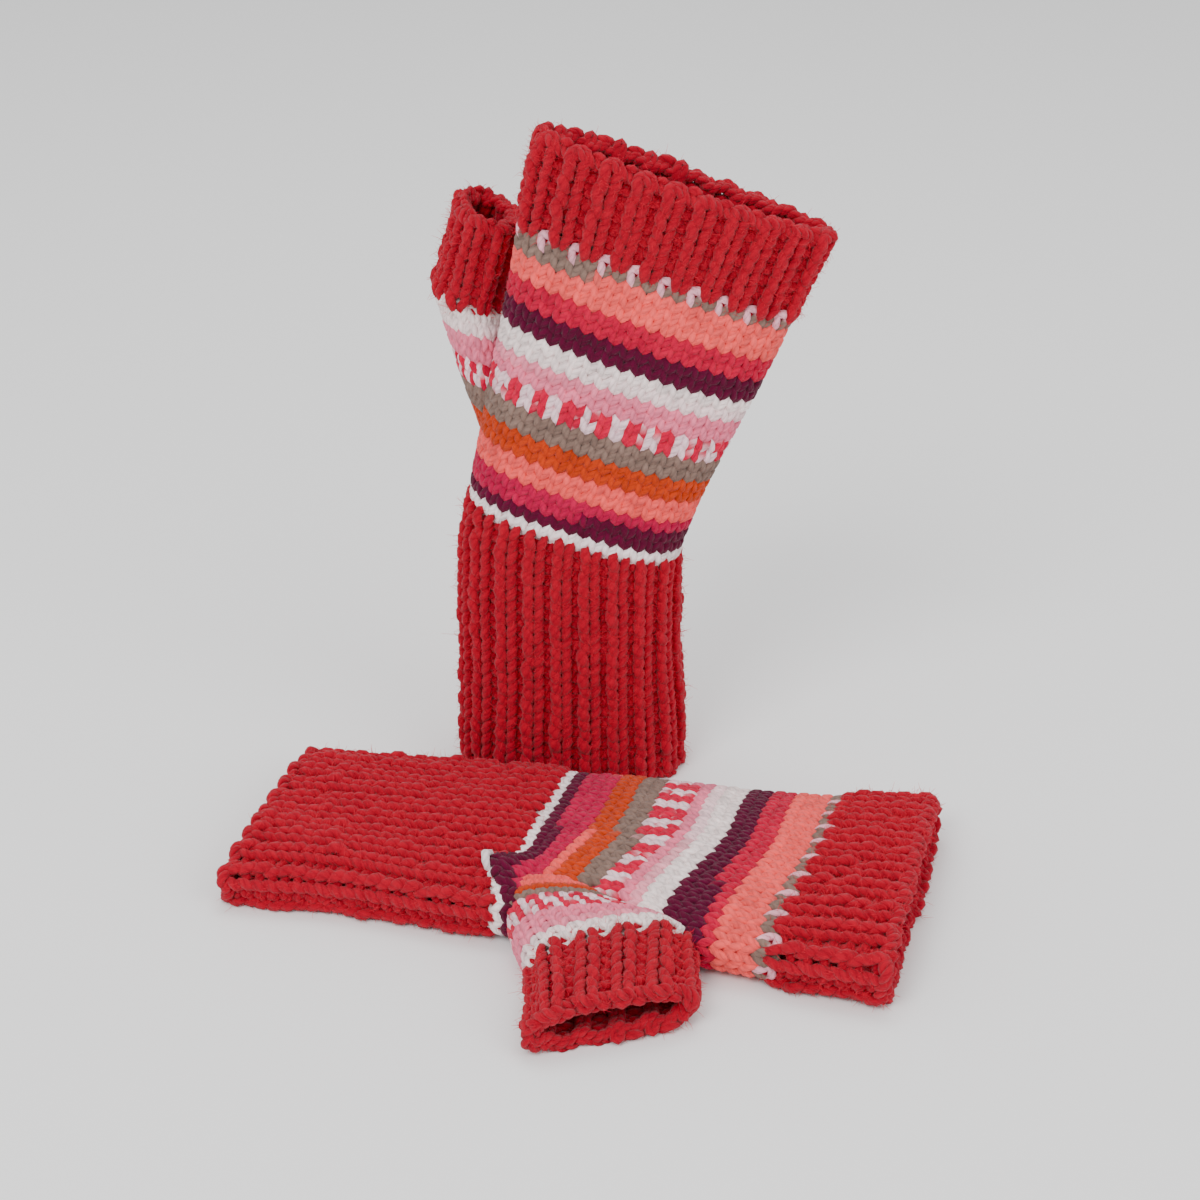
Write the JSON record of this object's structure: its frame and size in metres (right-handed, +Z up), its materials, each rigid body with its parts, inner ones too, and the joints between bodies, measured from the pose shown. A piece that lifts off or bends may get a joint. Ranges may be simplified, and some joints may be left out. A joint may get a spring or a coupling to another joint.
{
  "type": "knitted gloves",
  "caption": "Pair of knitted fingerless gloves with ribbed cuffs, striped hands and short thumbs; the right one stands in its worn shape and the left one lies flat.",
  "frame": {"origin": "middle of the flat rim of the right glove's cast-on edge, on the floor", "axes": "+Z up, +X along the back of the right hand towards its little finger's side, -Y from the right glove towards the left glove that lies in front of it"},
  "size_m": [0.2355, 0.2196, 0.2297],
  "materials": {
    "red_yarn": "matte, slightly fuzzy knitted yarn",
    "white_yarn": "matte, slightly fuzzy knitted yarn",
    "purple_yarn": "matte, slightly fuzzy knitted yarn",
    "magenta_yarn": "matte, slightly fuzzy knitted yarn",
    "coral_yarn": "matte, slightly fuzzy knitted yarn",
    "orange_yarn": "matte, slightly fuzzy knitted yarn",
    "taupe_yarn": "matte, slightly fuzzy knitted yarn",
    "flecked_yarn": "matte, slightly fuzzy knitted yarn",
    "pink_yarn": "matte, slightly fuzzy knitted yarn",
    "pale_yarn": "matte, slightly fuzzy knitted yarn",
    "crimson_yarn": "matte, slightly fuzzy knitted yarn"
  },
  "bodies": {
    "right_cuff": {"right_cast_on_edge": "red_yarn", "right_wrist_rib": "red_yarn", "right_white_round": "white_yarn", "right_lower_purple_band": "purple_yarn", "right_lower_magenta_band": "magenta_yarn"},
    "right_hand": {"right_lower_coral_band": "coral_yarn", "right_orange_band": "orange_yarn", "right_lower_taupe_band": "taupe_yarn", "right_flecked_band": "flecked_yarn", "right_pink_band": "pink_yarn", "right_pale_band": "pale_yarn", "right_upper_purple_band": "purple_yarn", "right_crimson_band": "crimson_yarn", "right_upper_coral_band": "coral_yarn", "right_upper_taupe_band": "taupe_yarn", "right_finger_rib": "red_yarn", "right_finger_bind_off_edge": "red_yarn", "right_thumb_gusset": "flecked_yarn"},
    "right_thumb": {"right_thumb_base": "pale_yarn", "right_thumb_rib": "red_yarn", "right_thumb_bind_off_edge": "red_yarn"},
    "left_cuff": {"left_cast_on_edge": "red_yarn", "left_wrist_rib": "red_yarn", "left_white_round": "white_yarn", "left_lower_purple_band": "purple_yarn", "left_lower_magenta_band": "magenta_yarn"},
    "left_hand": {"left_lower_coral_band": "coral_yarn", "left_orange_band": "orange_yarn", "left_lower_taupe_band": "taupe_yarn", "left_flecked_band": "flecked_yarn", "left_pink_band": "pink_yarn", "left_pale_band": "pale_yarn", "left_upper_purple_band": "purple_yarn", "left_crimson_band": "crimson_yarn", "left_upper_coral_band": "coral_yarn", "left_upper_taupe_band": "taupe_yarn", "left_finger_rib": "red_yarn", "left_finger_bind_off_edge": "red_yarn", "left_thumb_gusset": "flecked_yarn"},
    "left_thumb": {"left_thumb_base": "pale_yarn", "left_thumb_rib": "red_yarn", "left_thumb_bind_off_edge": "red_yarn"}
  },
  "joints": [
    {"name": "right_wrist_bend", "type": "hinge", "parent": "right_cuff", "child": "right_hand", "pos_m": [0.00222, 0, 0.09895], "axis": [-0.9588, 0, 0.284], "range_deg": [-25, 25], "deforming": ["right_white_round", "right_lower_purple_band", "right_lower_magenta_band"]},
    {"name": "right_thumb_spread", "type": "hinge", "parent": "right_hand", "child": "right_thumb", "pos_m": [-0.03759, 0.0225, 0.15634], "axis": [0, -1, 0], "range_deg": [0, 30], "deforming": ["right_thumb_base", "right_thumb_gusset"]},
    {"name": "left_glove_lift", "type": "slide", "parent": "right_cuff", "child": "left_cuff", "axis": [0, 0, 1], "range_m": [0, 0.15]},
    {"name": "left_hand_fold", "type": "hinge", "parent": "left_cuff", "child": "left_hand", "pos_m": [-0.00261, -0.08117, 0.009], "axis": [-0.2385, -0.9711, 0], "range_deg": [0, 60], "deforming": ["left_white_round", "left_lower_purple_band", "left_lower_magenta_band"]},
    {"name": "left_thumb_lift", "type": "hinge", "parent": "left_hand", "child": "left_thumb", "pos_m": [0.01366, -0.13796, 0.009], "axis": [-1, 0.0052, 0], "range_deg": [0, 40], "deforming": ["left_thumb_base", "left_thumb_gusset"]}
  ]
}
